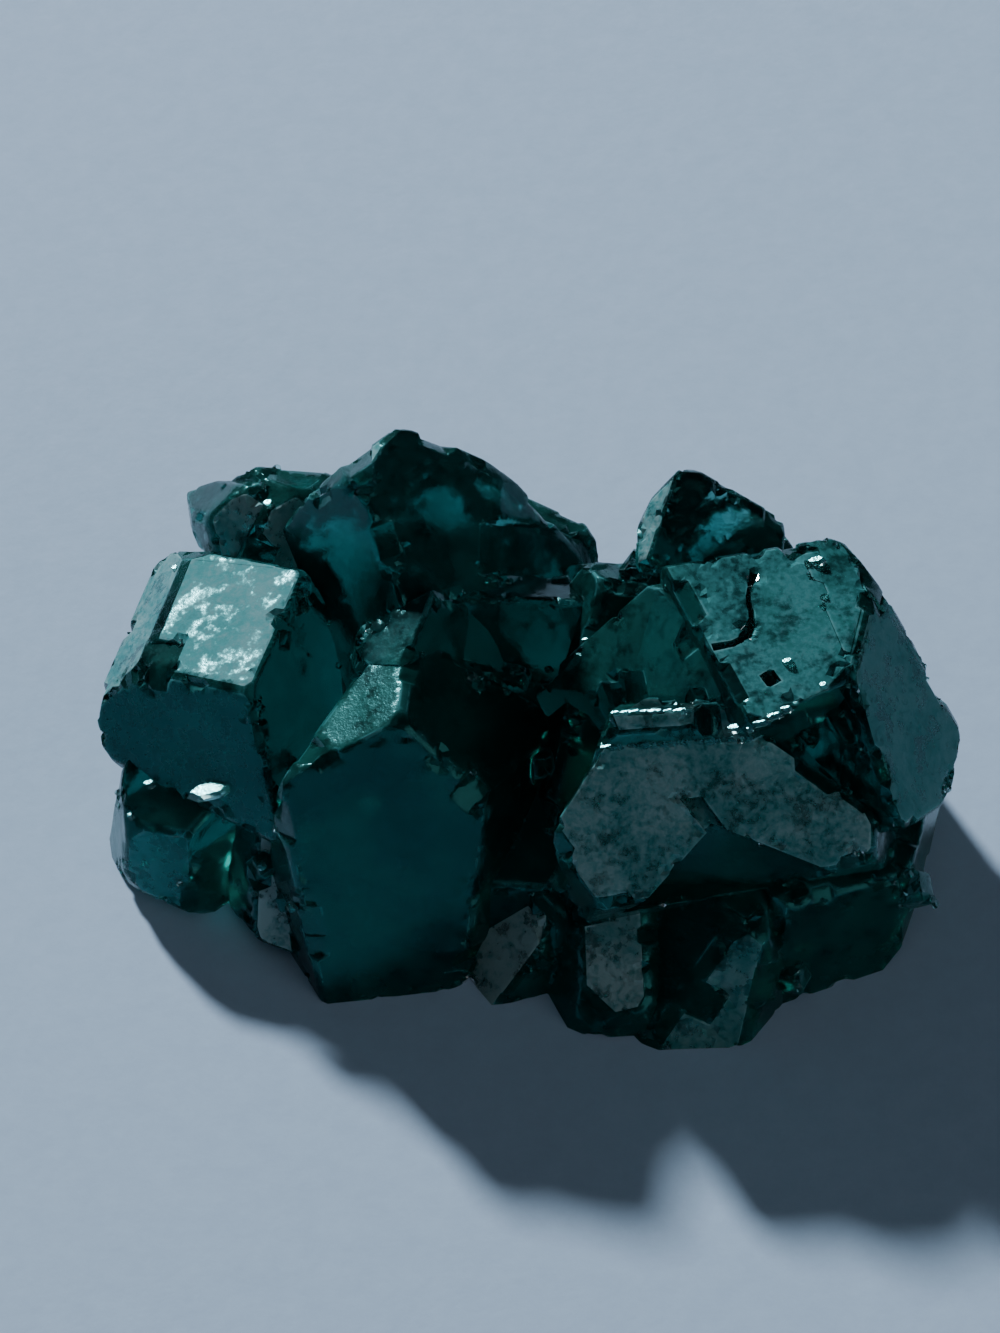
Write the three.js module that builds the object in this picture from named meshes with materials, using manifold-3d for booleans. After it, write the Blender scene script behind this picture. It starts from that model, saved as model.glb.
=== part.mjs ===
// A small cluster of dioptase: emerald-green crystals grown together, resting on a flat underside.
// Millimetres, +Z up. The photographed side faces -Y, and the longest extent runs along X.
import * as THREE from 'three';
import { mergeVertices } from 'three/addons/utils/BufferGeometryUtils.js';
import Module from 'manifold-3d';

// Driving dimensions
const BLOCK_SIZE = 30; // rough block that each crystal is trimmed from
const REST_HEIGHT = 0; // level of the flat underside in the drawing frame
const RHOMB_TILT = 51; // angle between a rhombohedron face's normal and the crystal's long axis, degrees
const PRISM_SIDES = 6;
const PRISM_TURN = 360 / PRISM_SIDES; // angle between neighbouring prism faces, degrees
const GOLDEN_ANGLE = 137.5; // turn from one small crystal to the next, degrees

// Wear of the larger crystals: blunted edges and corners, and chips along the longer edges
const WEAR_SEED = 11;
const ON_PLANE = 0.001; // a corner this close to a face's plane lies on it
const EDGE_BLUNTING = [0.02, 0.07]; // least and most depth
const CORNER_BLUNTING = [0.08, 0.22];
const SHORT_EDGE = 0.35; // edges below this length stay sharp
const CHIP_EVERY = 1.7; // length of edge for one chip
const CHIP_DEPTH = [0.07, 0.2];
const CHIP_LENGTH = [0.35, 0.9];
const CHIP_LEAN = 0.35; // how far a chip's floor leans out of the edge's own slope

// Colour and finish of the crystal as the photo shows it
const CRYSTAL_COLOUR = 0x0b5a4e;
const CRYSTAL_ROUGHNESS = 0.35;
const CRYSTAL_METALNESS = 0;

// Each crystal has a heart point and flat faces, and a face is [azimuth, rise, reach]:
// azimuth in degrees from +X towards +Y, rise in degrees above the horizon, reach in mm from the heart.

// Left end: a pale rhombus on top, a strip to its left and a dark front
const left = {
  heart: [-6.3, 0.9, 3.8],
  faces: [
    [173, 70, 1.7],
    [165, 36, 1.85],
    [233, 22, 2.0],
    [338, 25, 2.2],
    [66, 15, 2.1],
    [159, -25, 2.1],
    [240, -40, 2.6],
    [180, -65, 2.9],
  ],
};
const leftLower = {
  heart: [-6.2, -0.7, 2.1],
  faces: [
    [255, 10, 1.85],
    [312, 8, 0.8],
    [250, 66, 1.15],
    [192, 5, 2.3],
    [150, 10, 1.9],
    [235, -45, 2.75],
    [80, 10, 1.2],
  ],
};
const leftFoot = {
  heart: [-5.0, -1.8, 1.4],
  faces: [
    [262, 32, 1.2],
    [200, 15, 1.0],
    [345, 15, 0.65],
    [236, -55, 1.7],
    [100, 70, 1.2],
    [70, 0, 2.0],
  ],
};

// Two broken knobs behind the left end
const knobOuter = {
  heart: [-6.0, 3.2, 5.4],
  faces: [
    [255, 42, 0.5],
    [110, 66, 1.2],
    [160, 42, 0.85],
    [205, 5, 0.6],
    [335, 40, 1.1],
    [60, 5, 1.0],
    [190, -40, 1.0],
  ],
};
const knobInner = {
  heart: [-4.8, 3.2, 5.7],
  faces: [
    [275, 45, 0.55],
    [75, 66, 1.0],
    [345, 30, 0.7],
    [195, 40, 0.9],
    [90, 0, 1.2],
    [190, -50, 1.4],
  ],
};

// Upper crystal: the highest point, with a frosted face towards the middle
const upper = {
  heart: [-1.8, 2.7, 5.6],
  faces: [
    [170, 56, 3.25],
    [318, 41, 1.3],
    [225, 16, 2.25],
    [335, 28, 1.4],
    [77, 25, 1.85],
    [68, 12, 1.75],
    [124, 20, 2.1],
    [85, -25, 1.9],
    [270, -70, 3.5],
  ],
};

// Front crystal: a large dark face reaching the ground under a pale sloping top
const front = {
  heart: [-2.8, -1.9, 3.6],
  faces: [
    [180, 66, 2.4],
    [278, 20, 1.3],
    [351, 41, 2.05],
    [147, 8, 1.5],
    [208, 0, 2.6],
    [330, 5, 2.25],
    [80, 15, 2.6],
    [0, -90, 4],
  ],
};
const frontUpper = {
  heart: [-2.2, 0.3, 4.6],
  faces: [
    [186, 62, 1.8],
    [334, 25, 1.05],
    [188, 5, 1.4],
    [109, 10, 0.8],
    [264, -30, 0.2],
  ],
};

// Middle: the green glowing face and the peak behind it
const middle = {
  heart: [2.9, -0.3, 4.4],
  faces: [
    [213, 37, 1.25],
    [87, -10, 0.7],
    [236, 5, 0.95],
    [23, 80, 2.6],
    [0, 0, 1.6],
    [45, 0, 1.6],
    [270, -60, 2.4],
  ],
};
const backPeak = {
  heart: [3.7, 2.3, 6.0],
  faces: [
    [190, 45, 1.75],
    [311, 43, 0.7],
    [64, 25, 1.35],
    [126, 10, 1.25],
    [262, -35, 0.6],
    [175, -10, 1.25],
    [75, -30, 1.3],
    [0, -10, 1.6],
  ],
};

// Right end: a broad flat top, a steep right side and a large front slope below a ledge
const right = {
  heart: [5.4, -0.4, 4.4],
  faces: [
    [315, 84, 2.75],
    [345, 34, 2.65],
    [36, 12, 2.65],
    [104, 10, 2.4],
    [354, -30, 3.4],
    [205, 5, 2.1],
    [300, -20, 0.75],
    [241, -15, 2.0],
  ],
};
const rightSide = {
  heart: [6.9, 0.3, 3.6],
  faces: [
    [315, 84, 3.5],
    [345, 34, 2.05],
    [36, 12, 1.2],
    [60, 0, 1.0],
    [104, 10, 2.2],
    [354, -30, 1.75],
    [295, -45, 2.15],
    [225, 13, 2.5],
    [200, 10, 1.55],
  ],
};
const rightFront = {
  heart: [4.0, -2.4, 3.4],
  faces: [
    [279, 49, 1.95],
    [136, -10, 1.1],
    [220, -8, 3.6],
    [282, -30, 1.7],
    [43, 35, 2.0],
    [350, 10, 3.4],
    [90, 20, 1.6],
  ],
};
const rightLedge = {
  heart: [3.1, -1.7, 4.6],
  faces: [
    [279, 49, 1.85],
    [277, 5, 0.95],
    [163, 10, 1.55],
    [350, 20, 1.4],
    [95, 40, 1.0],
    [270, -60, 2],
  ],
};

// Feet: short crystals along the lower front edge
const rightFoot = {
  heart: [4.0, -3.4, 1.2],
  faces: [
    [272, 28, 1.65],
    [215, 42, 1.35],
    [325, 7, 1.7],
    [350, 20, 1.4],
    [275, 75, 1.5],
    [90, 10, 2.0],
  ],
};
const rightUnder = {
  heart: [6.2, -1.8, 1.8],
  faces: [
    [292, 12, 2.0],
    [345, 5, 2.05],
    [300, 65, 1.4],
    [200, 10, 2.0],
    [80, 10, 2.6],
  ],
};
const smallFoot = {
  heart: [0.3, -3.2, 0.9],
  faces: [
    [215, 48, 0.6],
    [290, 20, 1.0],
    [330, 45, 0.6],
    [90, 30, 1.0],
  ],
};
const middleFoot = {
  heart: [1.9, -3.9, 0.8],
  faces: [
    [262, 50, 0.9],
    [275, 10, 1.55],
    [335, 30, 1.05],
    [205, 25, 1.1],
    [80, 20, 1.2],
  ],
};

// Low fill in the front recess and behind the feet, where the crystals meet
const recess = {
  heart: [0.9, -2.0, 1.2],
  faces: [
    [268, 12, 1.3],
    [270, 72, 1.0],
    [190, 0, 2.4],
    [350, 0, 2.6],
    [90, 0, 2.5],
  ],
};
const footing = {
  heart: [2.4, -2.4, 0.7],
  faces: [
    [272, 30, 1.5],
    [275, 70, 1.2],
    [200, 15, 2.6],
    [340, 15, 3.0],
    [90, 0, 2.0],
  ],
};

// Steps of the hollow between the upper crystal and the peak
const saddle = {
  heart: [0.5, 1.0, 3.0],
  faces: [
    [285, 45, 0.25],
    [120, 75, 1.8],
    [190, 20, 2.6],
    [350, 20, 2.6],
    [90, 0, 2.4],
  ],
};
const bridge = {
  heart: [0.2, 1.4, 4.3],
  faces: [
    [285, 28, 0.7],
    [70, 60, 1.2],
    [190, 10, 2.0],
    [345, 20, 2.2],
    [90, 0, 1.2],
  ],
};
const shoulder = {
  heart: [2.2, 1.4, 5.2],
  faces: [
    [280, 40, 0.5],
    [75, 62, 0.8],
    [190, 25, 1.0],
    [345, 25, 1.4],
    [90, 0, 1.0],
  ],
};

const CRYSTALS = [
  left, leftLower, leftFoot, knobOuter, knobInner, upper, front, frontUpper, middle, backPeak,
  right, rightFront, rightLedge, rightFoot, rightUnder, smallFoot, middleFoot, recess, saddle,
  bridge, shoulder, rightSide, footing,
];

// Crystals of the plain habit, behind and below: six-sided prisms with three slanting faces at each tip
const HABIT_CRYSTALS = [
  { heart: [-4.3, 2.7, 3.0], axis: [130, 30], turn: 10, radius: 1.7, length: 5.6 },
  { heart: [-0.2, 3.7, 2.9], axis: [95, 22], turn: 25, radius: 1.6, length: 4.8 },
  { heart: [4.2, 2.5, 3.4], axis: [62, 28], turn: 5, radius: 1.8, length: 5.0 },
  { heart: [-2.5, 3.6, 1.2], axis: [115, 8], turn: 15, radius: 1.3, length: 4.4 },
  { heart: [2.2, 3.6, 1.2], axis: [75, 5], turn: 40, radius: 1.3, length: 4.2 },
  { heart: [6.0, 0.8, 1.6], axis: [25, 5], turn: 20, radius: 1.5, length: 4.2 },
  { heart: [-5.0, 1.4, 1.6], axis: [185, -5], turn: 0, radius: 1.6, length: 4.2 },
];

// Small crystals grown in the hollows and along broken edges, each set at a point of the larger ones
const SMALL_RADIUS = 0.26;
const SMALL_SLENDERNESS = 2.6; // length over radius
const SMALL_KINDS = 3; // sizes and leans that follow in turn
const SMALL_GROWTH = 0.25; // share by which each kind is larger than the one before
const SMALL_LEAN = 30; // rise of the first kind's long axis, degrees
const SMALL_LEAN_STEP = 20;
const SMALL_PLACES = [
  [-1.1, -0.2, 5.0], [-0.2, 0.4, 4.3], [-6.4, -1.4, 3.1], [-4.9, -3.2, 1.5], [-5.4, -2.7, 2.0],
  [-4.7, 1.4, 5.3], [-4.8, 0.5, 5.1], [6.1, -0.6, 4.9], [5.8, -1.0, 4.5], [5.4, -1.4, 4.5],
  [7.6, -3.0, 2.2], [8.0, -3.1, 1.7], [0.7, -3.3, 2.3], [0.3, -0.9, 3.1], [2.3, 2.0, 5.9],
  [0.7, 2.3, 4.9], [5.5, -4.6, 0.7], [2.9, -3.9, 2.8],
];

// Breaks, cut away with trimmed blocks of the same form as the crystals
const slopeNotch = {
  heart: [4.0, -4.3, 4.4],
  faces: [
    [148, 30, 0.6],
    [63, 35, 0.55],
    [90, -10, 0.9],
    [0, -90, 1.7],
  ],
};
const slopeFinger = {
  heart: [3.6, -3.7, 5.0],
  faces: [
    [100, 41, 0.4],
    [213, -20, 0.15],
    [33, 19, 0.2],
    [99, -49, 0.5],
  ],
};
const BREAKS = [slopeNotch, slopeFinger];

// Slanting breaks under the back and the right end: azimuth, then distance from the middle at ground level
const UNDERCUT_RISE = -40;
const UNDERCUTS = [[0, 7.4], [45, 6.0], [90, 4.0], [130, 5.4]];

// Curved crack across the broad top of the right end
const CRACK_ROUTE = [[4.62, 0.75], [4.5, 0.2], [4.56, -0.4], [4.3, -0.9], [3.8, -1.08]];
const CRACK_STEPS = 12;
const CRACK_LEVEL = 7.25;
const CRACK_WIDTH = [0.05, 0.19]; // at the thin end and at the open end
const CRACK_DEPTH = 0.35;

// Pits left by small crystals that broke away, along the left top's edge and at the right end's front rim
const PIT_RADIUS = 0.15;
const PIT_PLACES = [
  [-4.62, 1.2, 5.75], [-4.68, 0.75, 5.8], [-4.95, 0.25, 5.75], [-5.6, -0.15, 5.6], [4.9, -1.75, 7.05],
];

const wasm = await Module();
wasm.setup();

function direction(azimuth, rise) {
  const around = THREE.MathUtils.degToRad(azimuth);
  const up = THREE.MathUtils.degToRad(rise);
  return new THREE.Vector3(Math.cos(around) * Math.cos(up), Math.sin(around) * Math.cos(up), Math.sin(up));
}

function toSolid(geometry) {
  const bare = new THREE.BufferGeometry();
  bare.setAttribute('position', geometry.getAttribute('position'));
  bare.setIndex(geometry.getIndex());
  const merged = mergeVertices(bare);
  const mesh = new wasm.Mesh({
    numProp: 3,
    vertProperties: merged.getAttribute('position').array,
    triVerts: new Uint32Array(merged.getIndex().array),
  });
  return new wasm.Manifold(mesh);
}

function trimBlock(heart, planes) {
  const centre = new THREE.Vector3(...heart);
  const block = new THREE.BoxGeometry(BLOCK_SIZE, BLOCK_SIZE, BLOCK_SIZE).translate(...heart);
  let solid = toSolid(block);
  for (const { outward, reach } of planes) {
    const distance = outward.dot(centre) + reach;
    solid = solid.trimByPlane(outward.clone().negate().toArray(), -distance);
  }
  return solid;
}

function crystalPlanes(faces) {
  return faces.map(([azimuth, rise, reach]) => ({ outward: direction(azimuth, rise), reach }));
}

function between([least, most]) {
  return THREE.MathUtils.lerp(least, most, THREE.MathUtils.seededRandom());
}

function corners(solid) {
  const { vertProperties } = solid.getMesh();
  const points = [];
  for (let start = 0; start < vertProperties.length; start += 3) {
    points.push(new THREE.Vector3().fromArray(vertProperties, start));
  }
  return points;
}

// Edges of a trimmed block: each pair of planes that share two corners
function edges(points, heart, planes) {
  const centre = new THREE.Vector3(...heart);
  const onPlane = planes.map(({ outward, reach }) =>
    points.filter((point) => Math.abs(point.clone().sub(centre).dot(outward) - reach) < ON_PLANE),
  );
  const found = [];
  for (let one = 0; one < planes.length; one += 1) {
    for (let other = one + 1; other < planes.length; other += 1) {
      const shared = onPlane[one].filter((point) => onPlane[other].includes(point));
      if (shared.length >= 2) {
        const outward = planes[one].outward.clone().add(planes[other].outward).normalize();
        found.push({ start: shared[0], end: shared[1], outward });
      }
    }
  }
  return found.filter(({ start, end }) => start.distanceTo(end) > SHORT_EDGE);
}

function bluntCorner(solid, corner, planes, heart) {
  const centre = new THREE.Vector3(...heart);
  const outward = new THREE.Vector3();
  for (const plane of planes) {
    if (Math.abs(corner.clone().sub(centre).dot(plane.outward) - plane.reach) < ON_PLANE) {
      outward.add(plane.outward);
    }
  }
  if (outward.lengthSq() === 0) return solid;
  outward.normalize();
  const distance = outward.dot(corner) - between(CORNER_BLUNTING);
  return solid.trimByPlane(outward.negate().toArray(), -distance);
}

// A shallow scar with a leaning floor and two slanting ends, at a point of an edge
function chip({ start, end, outward }) {
  const along = end.clone().sub(start).normalize();
  const place = start.clone().lerp(end, THREE.MathUtils.seededRandom());
  const aside = new THREE.Vector3().crossVectors(along, outward);
  const lean = between([-CHIP_LEAN, CHIP_LEAN]);
  const floor = outward.clone().addScaledVector(aside, lean).negate().normalize();
  const half = between(CHIP_LENGTH) / 2;
  const planes = [1, -1].map((sign) => ({
    outward: floor.clone().addScaledVector(along, sign).normalize(),
    reach: half,
  }));
  planes.push({ outward: floor, reach: between(CHIP_DEPTH) });
  return trimBlock(place.toArray(), planes);
}

function wornCrystal(heart, planes) {
  let solid = trimBlock(heart, planes);
  const points = corners(solid);
  const sharp = edges(points, heart, planes);
  for (const { start, outward } of sharp) {
    const distance = outward.dot(start) - between(EDGE_BLUNTING);
    solid = solid.trimByPlane(outward.clone().negate().toArray(), -distance);
  }
  for (const point of points) {
    solid = bluntCorner(solid, point, planes, heart);
  }
  for (const edge of sharp) {
    const count = Math.floor(edge.start.distanceTo(edge.end) / CHIP_EVERY);
    for (let index = 0; index < count; index += 1) {
      solid = solid.subtract(chip(edge));
    }
  }
  return solid;
}

function crystal({ heart, faces }) {
  return wornCrystal(heart, crystalPlanes(faces));
}

function breakBlock({ heart, faces }) {
  return trimBlock(heart, crystalPlanes(faces));
}

function habitPlanes({ heart, axis, turn, radius, length }) {
  const stand = new THREE.Quaternion().setFromUnitVectors(new THREE.Vector3(0, 0, 1), direction(...axis));
  const tipReach = (length / 2) * Math.cos(THREE.MathUtils.degToRad(RHOMB_TILT));
  const planes = [];
  for (let side = 0; side < PRISM_SIDES; side += 1) {
    const around = turn + side * PRISM_TURN;
    const upwards = side % 2 === 0 ? 1 : -1;
    const prism = direction(around, 0);
    const slant = direction(around + PRISM_TURN / 2, upwards * (90 - RHOMB_TILT));
    planes.push({ outward: prism.applyQuaternion(stand), reach: radius });
    planes.push({ outward: slant.applyQuaternion(stand), reach: tipReach });
  }
  return { heart, planes };
}

function habitCrystal(form) {
  const { heart, planes } = habitPlanes(form);
  return wornCrystal(heart, planes);
}

// Small crystals turn by the golden angle from one to the next, so that no two look alike
function smallCrystal(place, index, firstRadius) {
  const kind = index % SMALL_KINDS;
  const radius = firstRadius * (1 + SMALL_GROWTH * kind);
  const { heart, planes } = habitPlanes({
    heart: place,
    axis: [index * GOLDEN_ANGLE, SMALL_LEAN + SMALL_LEAN_STEP * kind],
    turn: index * GOLDEN_ANGLE,
    radius,
    length: radius * SMALL_SLENDERNESS,
  });
  return trimBlock(heart, planes);
}

// A wedge-shaped groove along one short stretch of the crack
function crackGroove(from, to, width) {
  const along = to.clone().sub(from).normalize();
  const up = new THREE.Vector3(0, 0, 1);
  const aside = new THREE.Vector3().crossVectors(along, up);
  const planes = [1, -1].flatMap((sign) => {
    const wall = aside.clone().multiplyScalar(sign * CRACK_DEPTH);
    wall.addScaledVector(up, -width / 2).normalize();
    const tip = along.clone().multiplyScalar(sign);
    return [
      { outward: wall, reach: (wall.dot(aside) * sign * width) / 2 },
      { outward: tip, reach: from.distanceTo(to) / 2 + width / 4 },
    ];
  });
  planes.push({ outward: up, reach: CRACK_DEPTH });
  const middlePoint = from.clone().lerp(to, 0.5);
  return trimBlock(middlePoint.toArray(), planes);
}

function crackGrooves() {
  const route = CRACK_ROUTE.map(([x, y]) => new THREE.Vector3(x, y, CRACK_LEVEL));
  const points = new THREE.CatmullRomCurve3(route).getSpacedPoints(CRACK_STEPS);
  return points.slice(1).map((point, index) => {
    const width = THREE.MathUtils.lerp(...CRACK_WIDTH, index / CRACK_STEPS);
    return crackGroove(points[index], point, width);
  });
}

THREE.MathUtils.seededRandom(WEAR_SEED);
const solids = [
  ...CRYSTALS.map(crystal),
  ...HABIT_CRYSTALS.map(habitCrystal),
  ...SMALL_PLACES.map((place, index) => smallCrystal(place, index, SMALL_RADIUS)),
];
const cuts = [
  ...BREAKS.map(breakBlock),
  ...PIT_PLACES.map((place, index) => smallCrystal(place, index, PIT_RADIUS)),
  ...crackGrooves(),
];
let whole = wasm.Manifold.union(solids)
  .subtract(wasm.Manifold.union(cuts))
  .trimByPlane([0, 0, 1], REST_HEIGHT);
for (const [azimuth, distance] of UNDERCUTS) {
  const outward = direction(azimuth, UNDERCUT_RISE);
  const level = outward.dot(direction(azimuth, 0).multiplyScalar(distance));
  whole = whole.trimByPlane(outward.negate().toArray(), -level);
}
// The outer body is kept, without pinholes closed in between the crystals
const [cluster] = whole.decompose().sort((one, other) => other.volume() - one.volume());

const bounds = cluster.boundingBox();
const shift = [
  -(bounds.min[0] + bounds.max[0]) / 2,
  -(bounds.min[1] + bounds.max[1]) / 2,
  -bounds.min[2],
];

function toGeometry(solid) {
  const mesh = solid.getMesh();
  const geometry = new THREE.BufferGeometry();
  geometry.setAttribute('position', new THREE.BufferAttribute(mesh.vertProperties, 3));
  geometry.setIndex(new THREE.BufferAttribute(mesh.triVerts, 1));
  const flat = geometry.toNonIndexed();
  flat.computeVertexNormals();
  return flat;
}

const material = new THREE.MeshStandardMaterial({
  color: CRYSTAL_COLOUR,
  roughness: CRYSTAL_ROUGHNESS,
  metalness: CRYSTAL_METALNESS,
});
const clusterMesh = new THREE.Mesh(toGeometry(cluster), material);
clusterMesh.name = 'crystal_cluster';
clusterMesh.position.set(...shift);

const group = new THREE.Group();
group.name = 'dioptase';
group.add(clusterMesh);

export default group;
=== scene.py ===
import math

import bmesh
import bpy
import numpy as np
from mathutils import Matrix, Vector, noise
from mathutils.bvhtree import BVHTree
from mathutils.geometry import delaunay_2d_cdt


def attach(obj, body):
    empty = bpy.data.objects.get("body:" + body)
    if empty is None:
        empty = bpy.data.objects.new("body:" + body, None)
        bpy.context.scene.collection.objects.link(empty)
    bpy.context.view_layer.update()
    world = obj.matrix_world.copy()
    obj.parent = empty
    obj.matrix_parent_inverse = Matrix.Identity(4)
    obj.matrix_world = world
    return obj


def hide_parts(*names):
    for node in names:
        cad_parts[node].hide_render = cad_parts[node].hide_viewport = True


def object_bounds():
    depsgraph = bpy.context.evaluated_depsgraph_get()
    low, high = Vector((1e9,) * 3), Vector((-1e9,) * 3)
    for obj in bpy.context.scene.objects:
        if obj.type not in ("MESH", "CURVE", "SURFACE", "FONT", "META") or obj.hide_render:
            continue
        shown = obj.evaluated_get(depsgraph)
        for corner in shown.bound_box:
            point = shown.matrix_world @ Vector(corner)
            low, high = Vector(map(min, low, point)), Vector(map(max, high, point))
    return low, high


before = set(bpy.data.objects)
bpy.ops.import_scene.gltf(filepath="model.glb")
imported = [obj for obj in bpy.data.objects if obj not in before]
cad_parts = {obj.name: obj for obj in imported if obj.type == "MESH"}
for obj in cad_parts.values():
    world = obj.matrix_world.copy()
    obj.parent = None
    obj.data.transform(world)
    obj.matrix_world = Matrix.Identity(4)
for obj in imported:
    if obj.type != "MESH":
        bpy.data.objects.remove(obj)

# The dioptase cluster: its flat crystal faces are meshed finely from the solid, then worn, chipped
# and stepped, and finished as clear, satin or frosted crystal, with painted light in the paleness of faces
# and edges. Lengths are in millimetres, apart from those of the floor and the lamps, which are in metres.
MM = 0.001
CAD_LOW, CAD_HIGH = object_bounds()

# Mesh of a face
SPACING = 0.13
GRID_LOOSE = 0.028
GRID_SEED = 7
RIM = 0.04
RIM_CLEAR = 0.9  # share of the rim width that a rim point keeps from other edges
MERGE = 1e-4
TINY = 1e-9
FAR = 2.0
FLAT_ANGLE = math.radians(0.3)
SHARP_ANGLE = math.radians(22)

# Wear of the edges and relief of the faces
EDGE_WEAR = 0.02
WEAR_SIZE = 0.9
WEAR_MEAN = 0.7
WEAR_SPREAD = 0.5
CHIP_SIZE = 0.45
CHIP_FINER = 2.3  # how much smaller the second layer of chips is
CHIP_FINE_SHARE = 0.5
CHIP_DEPTH = 0.10
CHIP_REACH = 0.24
CHIP_LEAST = 0.30
CHIP_STEEP = 5
STEP_SIZE = 1.1
STEP_HEIGHT = 0.018
STEP_COUNT = 4
STEP_FADE = 0.3  # steps fade out over this distance from an edge
# Where in the noise each kind of relief is taken from
WEAR_SHIFT = (3.1, 0.0, 5.7)
CHIP_SHIFT = (0.3, 7.7, 1.9)
CHIP_FINE_SHIFT = (9.2, 2.2, 4.4)
STEP_SHIFT = (5.5, 1.2, 8.8)

# Faces with a frosted or satin skin: azimuth and rise of the facing in degrees,
# then how much of the skin is frosted, and how pale it is painted. The paleness is partly the frosting's own
# tone and partly painted light:
# it is set face by face for how the lamps fall, and faces in shade are painted paler as a painted reflection
# of the sky and painted glow from inside.
FROST_AND_PAINTED_LIGHT_FACINGS = {
    "left top": (173, 70, 0.97, 0.40),
    "left strip": (165, 36, 0.85, 0.50),
    "left front": (233, 22, 0.62, 0.12),
    "left low front": (255, 10, 0.70, 0.22),
    "left low side": (285, 0, 0.75, 0.24),
    "left foot side": (240, 24, 0.92, 0.90),
    "front top": (180, 66, 0.38, 0.00),
    "front upper top": (186, 62, 0.50, 0.05),
    "front dark": (278, 20, 0.34, 0.00),
    "upper small": (170, 56, 0.80, 0.36),
    "upper slope": (318, 41, 0.30, 0.05),
    "peak strip": (190, 45, 0.85, 0.60),
    "middle glow": (213, 37, 0.42, 0.07),
    "right top": (315, 84, 0.82, 0.22),
    "right side": (345, 34, 0.80, 0.30),
    "right slope": (279, 49, 0.96, 0.50),
    "ledge front": (277, 5, 0.85, 0.16),
    "right foot": (272, 28, 0.75, 0.42),
    "middle foot": (262, 50, 0.85, 0.75),
    "small foot": (215, 48, 0.90, 1.00),
    "left foot": (262, 32, 0.90, 1.00),
    "left inner": (338, 25, 0.08, 0.00),
    "peak front": (311, 43, 0.06, 0.00),
    "outer knob": (255, 42, 0.75, 0.60),
    "inner knob": (275, 45, 0.70, 0.50),
}
FACING_MATCH = math.cos(math.radians(1.2))
PLAIN_SKIN = (0.26, 0.0)

# Tiny crystals: crusts in the seams where crystals meet, and small flat faces that catch the light.
# A flash is a spot of the photo, across and down in pixels, then the face's length and width.
FLASH_FACING = (170, 70.7)
FLASH_THICKNESS = 0.16
FLASH_PROUD = 0.04
FLASHES = {
    "left shelf": (210, 789, 1.10, 0.44),
    "left shelf end": (149, 783, 0.26, 0.16),
    "left rim": (130, 815, 0.14, 0.12),
    "left cleft upper": (260, 863, 0.22, 0.24),
    "left cleft lower": (291, 905, 0.26, 0.22),
    "left foot upper": (238, 881, 0.16, 0.12),
    "left foot lower": (253, 891, 0.16, 0.14),
    "middle hollow left": (472, 675, 0.24, 0.14),
    "middle hollow right": (515, 670, 0.34, 0.16),
    "middle hollow low": (505, 690, 0.20, 0.14),
    "middle ledge": (490, 577, 0.42, 0.12),
    "middle edge low": (548, 668, 0.20, 0.08),
    "middle edge high": (585, 640, 0.16, 0.06),
    "right hollow top": (823, 685, 0.20, 0.14),
    "right hollow low": (815, 715, 0.42, 0.26),
    "ledge end": (735, 727, 0.40, 0.16),
    "right top rim": (787, 661, 0.26, 0.16),
    "right top back": (816, 560, 0.40, 0.18),
    "left top corner": (303, 607, 0.18, 0.16),
    "left back corner": (175, 568, 0.16, 0.14),
    "right foot": (797, 984, 0.16, 0.22),
    "right end upper": (907, 872, 0.22, 0.18),
    "right end lower": (933, 900, 0.18, 0.30),
    "knob": (268, 503, 0.24, 0.16),
}
# Bright broken edges: the spots of the start and the end, set with a row of flashes of random sizes
FLASH_ROWS = {
    "ledge back": ((615, 713), (690, 710)),
    "ledge front": ((605, 747), (745, 738)),
    "ledge right": ((746, 730), (786, 708)),
}
FLASH_PITCH = 0.18
FLASH_LENGTH = (0.10, 0.42)
FLASH_WIDTH = (0.04, 0.10)
SEAM_LEVEL = 0.35
SEAM_SEED = 5
SEAM_COUNT = 300
SEAM_SIZE = (0.04, 0.11)
CRYSTAL_SIDES = 6
CRYSTAL_TAPER = 0.75

# Crystal: clear inside with plain absorption, and frosted by colours from dark to pale; how pale each face
# is painted is partly the frosting and partly painted light
CRYSTAL_IOR = 1.66
CRYSTAL_CLEAR = (0.70, 0.96, 0.93, 1)
CRYSTAL_ABSORB = (0.02, 0.60, 0.57, 1)
ABSORB_DENSITY = 1200
CLEAR_SHEEN = (0.12, 0.72, 0.72, 1)
CLEAR_ROUGH = 0.06
CLEAR_ROUGH_SKIN = 0.55
CLEAR_ROUGH_FINE = 0.1
FROST_DARK = (0.002, 0.07, 0.07, 1)
FROST_DEEP = (0.010, 0.20, 0.172, 1)
FROST_TEAL = (0.045, 0.26, 0.27, 1)
FROST_PALE = (0.31, 0.47, 0.475, 1)
FROST_SHEEN = (0.45, 0.80, 0.82, 1)
FROST_IOR = 1.27
FROST_ROUGH = 0.58
FROST_ROUGH_FLECK = 0.32
BUMP_STRENGTH = 0.35
BUMP_DEPTH = 0.02

# Grain of the crystal's skin: size in millimetres and detail
GRAIN_ROUGH = 0.55
FINE_GRAIN = (0.14, 4)
BROAD_GRAIN = (1.3, 3)
PATCH_GRAIN = (0.5, 4)
SPECK_GRAIN = (0.06, 2)
VEIL_GRAIN = (2.4, 3)
# Share of the fine grain in each mixed grain
CLOUD_FINE = 0.35
FLECK_FINE = 0.5
BARE_FINE = 0.3
TOOTH_FINE = 0.6
# Range over which each grain goes from none to full
VEIL_RANGE = (0.40, 0.62)
CLOUD_RANGE = (0.42, 0.58)
FLECK_RANGE = (0.40, 0.60)
BARE_RANGE = (0.37, 0.50)
WORN_AND_GLINT_RANGE = (0.46, 0.60)
WORN_AND_GLINT_REACH = 0.06
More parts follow.
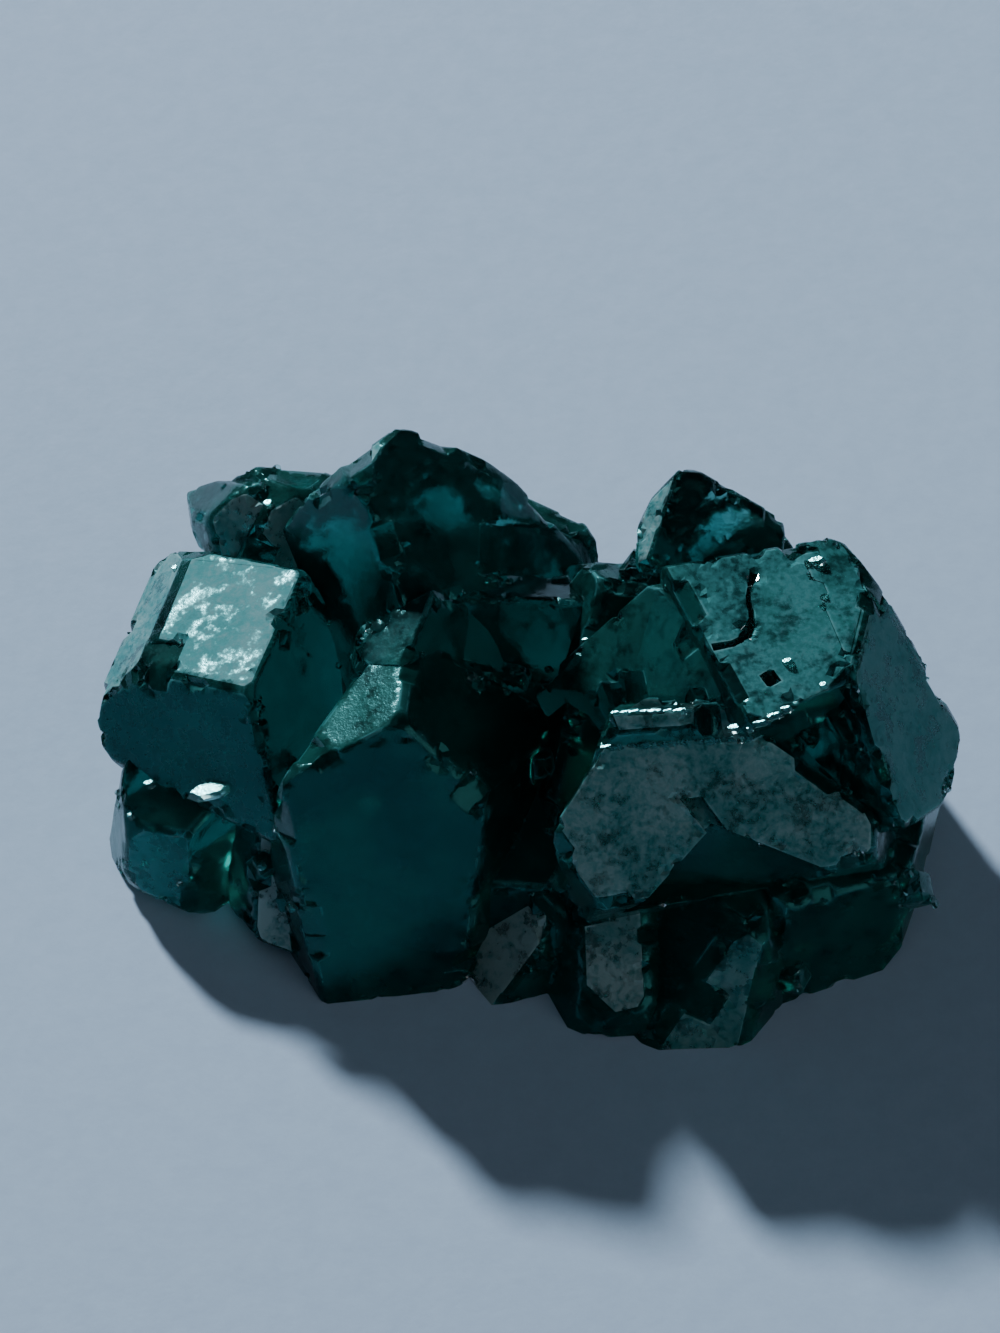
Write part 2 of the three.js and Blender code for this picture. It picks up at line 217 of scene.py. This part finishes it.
# How much skin and paleness is left where the skin is rubbed bare, without cloud, or at a worn edge; the
# paleness at worn edges is partly wear and partly a painted glint along the edge
BARE_SKIN = 0.35
CLOUDLESS_SKIN = 0.86
WORN_AND_GLINT_SKIN = 0.35
PLAIN_SHADE = 0.40
CLOUD_SHADE = 0.60
FLECK_SHADE = 0.55
WORN_AND_GLINT_SHADE = 0.30
TEAL_RANGE = (0.0, 0.3)
PALE_RANGE = (0.25, 1.0)

# Floor
FLOOR_SIZE = 0.8
FLOOR_COLOUR = (0.54, 0.705, 0.92, 1)
FLOOR_DARK = (0.50, 0.66, 0.87, 1)
FLOOR_ROUGH = 0.85
FLOOR_TOOTH = (0.3, 3)
FLOOR_TONE = (0.7, 5, 0.75)
FLOOR_TONE_RANGE = (0.35, 0.65)
FLOOR_BUMP = 0.15
FLOOR_BUMP_DEPTH = 0.05

# Lamps: direction, then distance and size in metres, power in watts, and colour
LAMPS = {
    "key_light": ((-0.46, 0.70, 0.545), 0.5, 0.05, 3.28, (0.85, 0.93, 1.0)),
    "side_fill": ((0.72, -0.62, 0.22), 0.45, 0.30, 0.25, (0.95, 0.98, 1.0)),
    "top_fill": ((0.1, -0.5, 1.0), 0.6, 0.4, 0.10, (0.88, 0.95, 1.0)),
}
SKY_COLOUR = (0.60, 0.74, 0.92, 1)
SKY_STRENGTH = 0.038

# Camera
VIEW_NEAREST = 0.01
VIEW_RISE = math.radians(52)
VIEW_DISTANCE = 160
VIEW_WIDTH_PX = 1000
VIEW_HEIGHT_PX = 1333
PX_PER_MM = 48.3
SENSOR = 36
VIEW_TARGET = Vector((-0.565, 1.0, 4.0))
VIEW_BACK = Vector((0, -math.cos(VIEW_RISE), math.sin(VIEW_RISE)))
VIEW_UP = Vector((0, math.sin(VIEW_RISE), math.cos(VIEW_RISE)))


def facing(azimuth, rise):
    around = math.radians(azimuth)
    up = math.radians(rise)
    return Vector((math.cos(around) * math.cos(up), math.sin(around) * math.cos(up), math.sin(up)))


def skin_of(normal):
    """How frosted a face is, and how pale it is painted, by where it faces; the paleness is partly frosting
    and partly painted light.
    """
    for azimuth, rise, frost, pale in FROST_AND_PAINTED_LIGHT_FACINGS.values():
        if facing(azimuth, rise).dot(normal) > FACING_MATCH:
            return frost, pale
    return PLAIN_SKIN


# Faces of the solid


def solid_faces(node):
    """The node's flat faces in millimetres, with shared corners and no edges inside a flat face."""
    work = bmesh.new()
    work.from_mesh(node.data)
    bmesh.ops.scale(work, vec=(1 / MM, 1 / MM, 1 / MM), verts=work.verts)
    bmesh.ops.remove_doubles(work, verts=work.verts, dist=MERGE)
    bmesh.ops.dissolve_degenerate(work, edges=work.edges, dist=MERGE)
    bmesh.ops.dissolve_limit(work, angle_limit=FLAT_ANGLE, verts=work.verts, edges=work.edges)
    work.verts.index_update()
    work.edges.index_update()
    return work


def split_edges(work):
    """All corner points, followed by points along the edges, and for each edge the row of its points."""
    points = [vert.co.copy() for vert in work.verts]
    rows = []
    for edge in work.edges:
        start, end = edge.verts
        parts = max(1, round(edge.calc_length() / SPACING))
        row = [start.index]
        for part in range(1, parts):
            row.append(len(points))
            points.append(start.co.lerp(end.co, part / parts))
        row.append(end.index)
        rows.append(row)
    return points, rows


def border_of(face, rows):
    """The points around a face, in order."""
    border = []
    for loop in face.loops:
        row = rows[loop.edge.index]
        if row[0] != loop.vert.index:
            row = row[::-1]
        border.extend(row[:-1])
    return border


def gaps_to(points, starts, ends):
    """Distance from each point to the nearest of the segments."""
    along = ends - starts
    length = np.maximum((along**2).sum(1), TINY)
    offset = points[:, None, :] - starts[None, :, :]
    share = np.clip((offset * along).sum(2) / length, 0, 1)
    nearest = starts + share[:, :, None] * along
    return np.sqrt(((points[:, None, :] - nearest) ** 2).sum(2)).min(1)


def fill_points(flat, random):
    """Points inside a flat outline: a row just inside its border, and a loosened triangle grid."""
    ends = np.roll(flat, -1, axis=0)
    along = ends - flat
    length = np.maximum(np.linalg.norm(along, axis=1, keepdims=True), TINY)
    inward = np.column_stack([-along[:, 1], along[:, 0]]) / length
    rim = (flat + ends) / 2 + inward * RIM
    low = flat.min(0)
    high = flat.max(0)
    columns = np.arange(low[0], high[0], SPACING)
    rows = np.arange(low[1], high[1], SPACING * math.sqrt(3) / 2)
    grid = [(x + (row % 2) * SPACING / 2, y) for row, y in enumerate(rows) for x in columns]
    grid = np.array(grid).reshape(-1, 2)
    grid = grid + random.uniform(-GRID_LOOSE, GRID_LOOSE, grid.shape)
    rim = rim[gaps_to(rim, flat, ends) > RIM * RIM_CLEAR]
    grid = grid[gaps_to(grid, flat, ends) > RIM + SPACING / 2]
    return np.concatenate([rim, grid])


def mesh_face(face, border, points, random):
    """A fine triangle mesh of one flat face. New points join the list, and triangles hold places in it."""
    origin = face.verts[0].co
    longest = max(face.edges, key=lambda edge: edge.calc_length())
    across = (longest.verts[1].co - longest.verts[0].co).normalized()
    upward = face.normal.cross(across)
    axes = np.array([across, upward])
    flat = (np.array([points[place] for place in border]) - np.array(origin)) @ axes.T
    inner = fill_points(flat, random)
    count = len(border)
    loop = [(place, (place + 1) % count) for place in range(count)]
    whole = [Vector(point) for point in np.concatenate([flat, inner])]
    made, _, triangles, sources, *_ = delaunay_2d_cdt(whole, loop, [list(range(count))], 1, TINY)
    places = {}
    for corner in sorted({corner for triangle in triangles for corner in triangle}):
        known = [index for index in sources[corner] if index < count]
        if known:
            places[corner] = border[known[0]]
        else:
            places[corner] = len(points)
            points.append(origin + across * made[corner].x + upward * made[corner].y)
    return [[places[corner] for corner in triangle] for triangle in triangles]


def field(points, size, shift):
    """Smooth noise from about -1 to 1 at each point, with features of the given size."""
    offset = Vector(shift)
    return np.array([noise.noise(Vector(point) / size + offset) for point in points])


def edge_gaps(work, points, owners):
    """Distance from each point to the nearest edge that stands out on a face that holds the point."""
    gaps = np.full(len(points), FAR)
    for face in work.faces:
        proud = [edge for edge in face.edges if edge.calc_face_angle_signed(0.0) > SHARP_ANGLE]
        held = owners[face.index]
        if proud and held:
            starts = np.array([edge.verts[0].co for edge in proud])
            ends = np.array([edge.verts[1].co for edge in proud])
            found = gaps_to(points[held], starts, ends)
            gaps[held] = np.minimum(gaps[held], found)
    return gaps


def build_cluster(node):
    """The worn and chipped cluster as one closed mesh, with each face's frosting and paleness as attributes;
    the paleness is partly painted light.

    Also gives the points along its seams, and the surface of the solid to cast rays on.
    """
    random = np.random.default_rng(GRID_SEED)
    work = solid_faces(node)
    points, rows = split_edges(work)
    triangles = []
    skins = []
    owners = []
    for face in work.faces:
        parts = mesh_face(face, border_of(face, rows), points, random)
        triangles.extend(parts)
        skins.extend([skin_of(face.normal)] * len(parts))
        owners.append(sorted({place for part in parts for place in part}))
    points = np.array(points)
    lean = np.zeros_like(points)
    for face in work.faces:
        lean[owners[face.index]] += np.array(face.normal)
    lean /= np.maximum(np.linalg.norm(lean, axis=1, keepdims=True), TINY)
    gaps = edge_gaps(work, points, owners)
    seams = seam_points(work, rows, points)
    surface = BVHTree.FromBMesh(work)
    work.free()
    points = points - lean * relief(points, gaps)[:, None]
    points[:, 2] = np.maximum(points[:, 2], CAD_LOW[2] / MM)
    mesh = bpy.data.meshes.new("crystal_cluster_worn")
    mesh.from_pydata((points * MM).tolist(), [], triangles)
    # Frost share and paleness of each face; the paleness is partly painted light
    for name, values in zip(("frost", "pale"), zip(*skins)):
        skin = mesh.attributes.new(name, "FLOAT", "FACE")
        skin.data.foreach_set("value", values)
    edge = mesh.attributes.new("edge_gap", "FLOAT", "POINT")
    edge.data.foreach_set("value", np.minimum(gaps, FAR).tolist())
    mesh.shade_smooth()
    mesh.set_sharp_from_angle(angle=SHARP_ANGLE)
    return mesh, seams, surface


def seam_points(work, rows, points):
    """Points along the seams, where two faces meet in a valley."""
    found = []
    for edge in work.edges:
        if edge.calc_face_angle_signed(0.0) < -SHARP_ANGLE:
            found.extend(points[rows[edge.index]])
    return np.array(found)


def relief(points, gap):
    """How far each point sinks below its flat face, by worn edges, chips along them and growth steps."""
    near = np.clip(1 - gap / RIM, 0, 1)
    wear = EDGE_WEAR * near * (WEAR_MEAN + WEAR_SPREAD * field(points, WEAR_SIZE, WEAR_SHIFT))
    coarse = field(points, CHIP_SIZE, CHIP_SHIFT)
    fine = field(points, CHIP_SIZE / CHIP_FINER, CHIP_FINE_SHIFT)
    rough = coarse + CHIP_FINE_SHARE * fine
    broken = np.clip((rough - CHIP_LEAST) * CHIP_STEEP, 0, 1)
    chip = CHIP_DEPTH * broken * np.clip(2 - 2 * gap / CHIP_REACH, 0, 1)
    level = 0.5 + 0.5 * field(points, STEP_SIZE, STEP_SHIFT)
    step = STEP_HEIGHT * np.floor(level * STEP_COUNT) / STEP_COUNT
    return wear + chip + step * np.clip(gap / STEP_FADE, 0, 1)


# Materials


class Socket:
    """A shader socket that takes part in Python sums, so that an expression adds its Math nodes."""

    def __init__(self, tree, socket):
        self.tree = tree
        self.socket = socket

    def math(self, operation, first, second):
        made = self.tree.add("ShaderNodeMath", {"operation": operation}, {0: first, 1: second})
        return made.out(0)

    def __add__(self, other):
        return self.math("ADD", self, other)

    def __radd__(self, other):
        return self.math("ADD", other, self)

    def __mul__(self, other):
        return self.math("MULTIPLY", self, other)

    def __rmul__(self, other):
        return self.math("MULTIPLY", other, self)


class Node:
    """One shader node, whose outputs come out as sockets for sums."""

    def __init__(self, tree, node):
        self.tree = tree
        self.node = node

    def out(self, name):
        return Socket(self.tree, self.node.outputs[name])


class Tree:
    """A material's node tree, with one method that adds a node of any type."""

    def __init__(self, name):
        self.material = bpy.data.materials.new(name)
        self.material.use_nodes = True
        self.nodes = self.material.node_tree.nodes
        self.links = self.material.node_tree.links
        self.nodes.clear()

    def add(self, kind, settings=None, inputs=None):
        node = self.nodes.new(kind)
        for name, value in (settings or {}).items():
            setattr(node, name, value)
        for name, value in (inputs or {}).items():
            if isinstance(value, Socket):
                self.links.new(value.socket, node.inputs[name])
            else:
                node.inputs[name].default_value = value
        return Node(self, node)

    def grain(self, where, size, detail, rough=GRAIN_ROUGH):
        """Noise from 0 to 1 with features of the given size in millimetres."""
        inputs = {"Vector": where, "Scale": 1 / (size * MM), "Detail": detail, "Roughness": rough}
        return self.add("ShaderNodeTexNoise", None, inputs).out("Fac")

    def between(self, value, low, high):
        """A value stretched so that low becomes 0 and high becomes 1, and held within them."""
        settings = {"clamp": True}
        inputs = {"Value": value, "From Min": low, "From Max": high}
        return self.add("ShaderNodeMapRange", settings, inputs).out("Result")

    def blend(self, share, first, second):
        """A colour between two colours."""
        settings = {"data_type": "RGBA"}
        return self.add("ShaderNodeMix", settings, {0: share, 6: first, 7: second}).out(2)


def crystal_material():
    """Deep green clear crystal under a skin that is glassy on some faces and frosted on others, with a
    paleness that is partly painted light on faces in shade and along worn edges.
    """
    tree = Tree("dioptase")
    where = tree.add("ShaderNodeTexCoord").out("Object")
    frost = tree.add("ShaderNodeAttribute", {"attribute_name": "frost"}).out("Fac")
    pale = tree.add("ShaderNodeAttribute", {"attribute_name": "pale"}).out("Fac")
    gap = tree.add("ShaderNodeAttribute", {"attribute_name": "edge_gap"}).out("Fac")
    fine = tree.grain(where, *FINE_GRAIN)
    broad = tree.grain(where, *BROAD_GRAIN)
    patches = tree.grain(where, *PATCH_GRAIN)
    specks = tree.grain(where, *SPECK_GRAIN)
    veil = tree.between(tree.grain(where, *VEIL_GRAIN), *VEIL_RANGE)
    cloud = tree.between(fine * CLOUD_FINE + broad * (1 - CLOUD_FINE), *CLOUD_RANGE)
    flecks = tree.between(specks * (1 - FLECK_FINE) + fine * FLECK_FINE, *FLECK_RANGE)
    bare = tree.between(patches * (1 - BARE_FINE) + fine * BARE_FINE, *BARE_RANGE)
    # Pale rubbed edges: partly wear and partly a painted glint along the edges
    worn_and_glint = tree.between(gap, WORN_AND_GLINT_REACH, 0.0) * tree.between(patches, *WORN_AND_GLINT_RANGE)
    covered = BARE_SKIN + (1 - BARE_SKIN) * bare
    clouded = CLOUDLESS_SKIN + (1 - CLOUDLESS_SKIN) * cloud
    skin = frost * covered * clouded + worn_and_glint * WORN_AND_GLINT_SKIN
    # Paleness: the frosting's grain, plus each face's paleness and the pale worn edges. These are partly
    # painted light: faces in shade are painted paler, and a painted glint runs along edges
    shade = pale * (PLAIN_SHADE + CLOUD_SHADE * cloud + FLECK_SHADE * flecks) + worn_and_glint * WORN_AND_GLINT_SHADE
    inside = tree.blend(veil, FROST_DARK, FROST_DEEP)
    deep = tree.blend(tree.between(shade, *TEAL_RANGE), inside, FROST_TEAL)
    colour = tree.blend(tree.between(shade, *PALE_RANGE), deep, FROST_PALE)
    tooth = fine * TOOTH_FINE + specks * (1 - TOOTH_FINE)
    bump = tree.add(
        "ShaderNodeBump", None, {"Strength": BUMP_STRENGTH, "Distance": BUMP_DEPTH * MM, "Height": tooth}
    ).out("Normal")
    clear = tree.add(
        "ShaderNodeBsdfPrincipled",
        None,
        {
            "Base Color": CRYSTAL_CLEAR,
            "Roughness": CLEAR_ROUGH + CLEAR_ROUGH_SKIN * skin * skin + CLEAR_ROUGH_FINE * fine,
            "IOR": CRYSTAL_IOR,
            "Transmission Weight": 1.0,
            "Specular Tint": CLEAR_SHEEN,
            "Normal": bump,
        },
    ).out("BSDF")
    frosted = tree.add(
        "ShaderNodeBsdfPrincipled",
        None,
        {
            "Base Color": colour,
            "Roughness": FROST_ROUGH + FROST_ROUGH_FLECK * flecks,
            "IOR": FROST_IOR,
            "Specular Tint": FROST_SHEEN,
            "Normal": bump,
        },
    ).out("BSDF")
    mixed = tree.add("ShaderNodeMixShader", None, {0: skin, 1: clear, 2: frosted}).out(0)
    absorb = tree.add(
        "ShaderNodeVolumeAbsorption", None, {"Color": CRYSTAL_ABSORB, "Density": ABSORB_DENSITY}
    ).out("Volume")
    tree.add("ShaderNodeOutputMaterial", None, {"Surface": mixed, "Volume": absorb})
    return tree.material


def floor_material():
    """Plain pale cool paper with a faint tooth."""
    tree = Tree("pale_floor")
    where = tree.add("ShaderNodeTexCoord").out("Object")
    tooth = tree.grain(where, *FLOOR_TOOTH)
    tone = tree.grain(where, *FLOOR_TONE)
    colour = tree.blend(tree.between(tone, *FLOOR_TONE_RANGE), FLOOR_DARK, FLOOR_COLOUR)
    bump = tree.add(
        "ShaderNodeBump", None, {"Strength": FLOOR_BUMP, "Distance": FLOOR_BUMP_DEPTH * MM, "Height": tooth}
    ).out("Normal")
    paper = tree.add(
        "ShaderNodeBsdfPrincipled", None, {"Base Color": colour, "Roughness": FLOOR_ROUGH, "Normal": bump}
    ).out("BSDF")
    tree.add("ShaderNodeOutputMaterial", None, {"Surface": paper})
    return tree.material


# Tiny crystals


def place_at(surface, spot):
    """The place on the surface that the camera sees at a spot of the photo."""
    across = (spot.x - VIEW_WIDTH_PX / 2) / PX_PER_MM
    upward = (VIEW_HEIGHT_PX / 2 - spot.y) / PX_PER_MM
    start = VIEW_TARGET + VIEW_BACK * VIEW_DISTANCE
    seen = VIEW_TARGET + Vector((across, 0, 0)) + VIEW_UP * upward
    return surface.ray_cast(start, seen - start)[0]


def flash_spots(random):
    """Spot, length and width of each flash: the single ones, then those in rows."""
    flashes = [(Vector(spot), length, width) for *spot, length, width in FLASHES.values()]
    for start, end in FLASH_ROWS.values():
        start = Vector(start)
        end = Vector(end)
        count = round((end - start).length / PX_PER_MM / FLASH_PITCH)
        for step in range(count):
            size = random.uniform(*FLASH_LENGTH), random.uniform(*FLASH_WIDTH)
            spot = start.lerp(end, (step + random.uniform(0, 1)) / count)
            flashes.append((spot, *size))
    return flashes


def tiny_places(seams, surface):
    """Place, turn and size of each tiny crystal: at random in the seams, and flashes facing the light."""
    random = np.random.default_rng(SEAM_SEED)
    places = []
    turns = []
    sizes = []
    high = seams[seams[:, 2] > SEAM_LEVEL]
    for place in random.permutation(high)[:SEAM_COUNT]:
        places.append(Vector(place))
        turns.append(Vector(random.uniform(-math.pi, math.pi, 3)))
        sizes.append(Vector(random.uniform(*SEAM_SIZE, 3)))
    towards = facing(*FLASH_FACING)
    along = (Vector((1, 0, 0)) - towards * towards.x).normalized()
    stand = Matrix((along, towards.cross(along), towards)).transposed()
    for spot, length, width in flash_spots(random):
        clear_of_slope = place_at(surface, spot) + VIEW_BACK * width / 2
        places.append(clear_of_slope + towards * (FLASH_PROUD - FLASH_THICKNESS))
        turns.append(Vector(stand.to_euler()))
        sizes.append(Vector((length / 2, width / 2, FLASH_THICKNESS)))
    return places, turns, sizes


def tiny_crystal_tree(material):
    """A node tree that stands a six-sided tapering crystal at each point of a mesh, by its turn and size."""
    tree = bpy.data.node_groups.new("tiny_crystals", "GeometryNodeTree")
    tree.interface.new_socket("Points", in_out="INPUT", socket_type="NodeSocketGeometry")
    tree.interface.new_socket("Sides", in_out="INPUT", socket_type="NodeSocketInt")
    tree.interface.new_socket("Taper", in_out="INPUT", socket_type="NodeSocketFloat")
    tree.interface.new_socket("Crystals", in_out="OUTPUT", socket_type="NodeSocketGeometry")
    given = tree.nodes.new("NodeGroupInput")
    made = tree.nodes.new("NodeGroupOutput")
    points = tree.nodes.new("GeometryNodeMeshToPoints")
    cone = tree.nodes.new("GeometryNodeMeshCone")
    cone.inputs["Radius Bottom"].default_value = 1
    cone.inputs["Depth"].default_value = 1
    stand = tree.nodes.new("GeometryNodeInstanceOnPoints")
    turn = tree.nodes.new("GeometryNodeInputNamedAttribute")
    turn.data_type = "FLOAT_VECTOR"
    turn.inputs["Name"].default_value = "turn"
    rotation = tree.nodes.new("FunctionNodeEulerToRotation")
    size = tree.nodes.new("GeometryNodeInputNamedAttribute")
    size.data_type = "FLOAT_VECTOR"
    size.inputs["Name"].default_value = "size"
    realize = tree.nodes.new("GeometryNodeRealizeInstances")
    finish = tree.nodes.new("GeometryNodeSetMaterial")
    finish.inputs["Material"].default_value = material
    tree.links.new(given.outputs["Points"], points.inputs["Mesh"])
    tree.links.new(given.outputs["Sides"], cone.inputs["Vertices"])
    tree.links.new(given.outputs["Taper"], cone.inputs["Radius Top"])
    tree.links.new(points.outputs["Points"], stand.inputs["Points"])
    tree.links.new(cone.outputs["Mesh"], stand.inputs["Instance"])
    tree.links.new(turn.outputs["Attribute"], rotation.inputs["Euler"])
    tree.links.new(rotation.outputs["Rotation"], stand.inputs["Rotation"])
    tree.links.new(size.outputs["Attribute"], stand.inputs["Scale"])
    tree.links.new(stand.outputs["Instances"], realize.inputs["Geometry"])
    tree.links.new(realize.outputs["Geometry"], finish.inputs["Geometry"])
    tree.links.new(finish.outputs["Geometry"], made.inputs["Crystals"])
    return tree


def grow_tiny_crystals(seams, surface, material):
    """One plain mesh of all tiny crystals."""
    places, turns, sizes = tiny_places(seams, surface)
    seeds = bpy.data.meshes.new("tiny_crystal_points")
    seeds.from_pydata([place * MM for place in places], [], [])
    scaled = [size * MM for size in sizes]
    for name, values in (("turn", turns), ("size", scaled)):
        layer = seeds.attributes.new(name, "FLOAT_VECTOR", "POINT")
        layer.data.foreach_set("vector", [number for value in values for number in value])
    holder = add_object("tiny_crystal_points", seeds)
    grow = holder.modifiers.new("tiny_crystals", "NODES")
    grow.node_group = tiny_crystal_tree(material)
    values = {"Sides": CRYSTAL_SIDES, "Taper": CRYSTAL_TAPER}
    for item in grow.node_group.interface.items_tree:
        if item.name in values:
            grow[item.identifier] = values[item.name]
    view = bpy.context.evaluated_depsgraph_get()
    mesh = bpy.data.meshes.new_from_object(holder.evaluated_get(view))
    holder.modifiers.remove(grow)
    bpy.data.objects.remove(holder)
    gap = mesh.attributes.new("edge_gap", "FLOAT", "POINT")
    gap.data.foreach_set("value", [FAR] * len(mesh.vertices))
    mesh.shade_flat()
    return mesh


# Pieces


def add_object(name, data):
    made = bpy.data.objects.new(name, data)
    bpy.context.scene.collection.objects.link(made)
    return made


def make_cluster():
    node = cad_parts["crystal_cluster"]
    mesh, seams, surface = build_cluster(node)
    material = crystal_material()
    mesh.materials.append(material)
    cluster = add_object("dioptase_cluster", mesh)
    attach(cluster, "root")
    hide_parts("crystal_cluster")
    tiny = add_object("tiny_seam_crystals", grow_tiny_crystals(seams, surface, material))
    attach(tiny, "root")


# Stage


def make_floor():
    half = FLOOR_SIZE / 2
    mesh = bpy.data.meshes.new("floor")
    corners = [(-half, -half, 0), (half, -half, 0), (half, half, 0), (-half, half, 0)]
    mesh.from_pydata(corners, [], [(0, 1, 2, 3)])
    floor = add_object("floor", mesh)
    mesh.materials.append(floor_material())


def add_lamp(name, direction, distance, size, power, colour):
    """A round soft light that looks at the middle of the cluster."""
    lamp = bpy.data.lights.new(name, "AREA")
    lamp.shape = "DISK"
    lamp.size = size
    lamp.energy = power
    lamp.color = colour
    made = add_object(name, lamp)
    place = Vector(direction).normalized() * distance
    made.location = place
    made.rotation_euler = place.to_track_quat("Z", "Y").to_euler()


def make_lights():
    for name, settings in LAMPS.items():
        add_lamp(name, *settings)
    world = bpy.data.worlds.new("studio")
    world.use_nodes = True
    backdrop = world.node_tree.nodes["Background"]
    backdrop.inputs["Color"].default_value = SKY_COLOUR
    backdrop.inputs["Strength"].default_value = SKY_STRENGTH
    bpy.context.scene.world = world


def make_camera():
    lens = bpy.data.cameras.new("photo_view")
    lens.sensor_width = SENSOR
    lens.lens = SENSOR * PX_PER_MM * VIEW_DISTANCE / VIEW_HEIGHT_PX
    lens.clip_start = VIEW_NEAREST
    camera = add_object("photo_view", lens)
    camera.location = (VIEW_TARGET + VIEW_BACK * VIEW_DISTANCE) * MM
    camera.rotation_euler = VIEW_BACK.to_track_quat("Z", "Y").to_euler()
    bpy.context.scene.camera = camera


make_cluster()
make_floor()
make_lights()
make_camera()
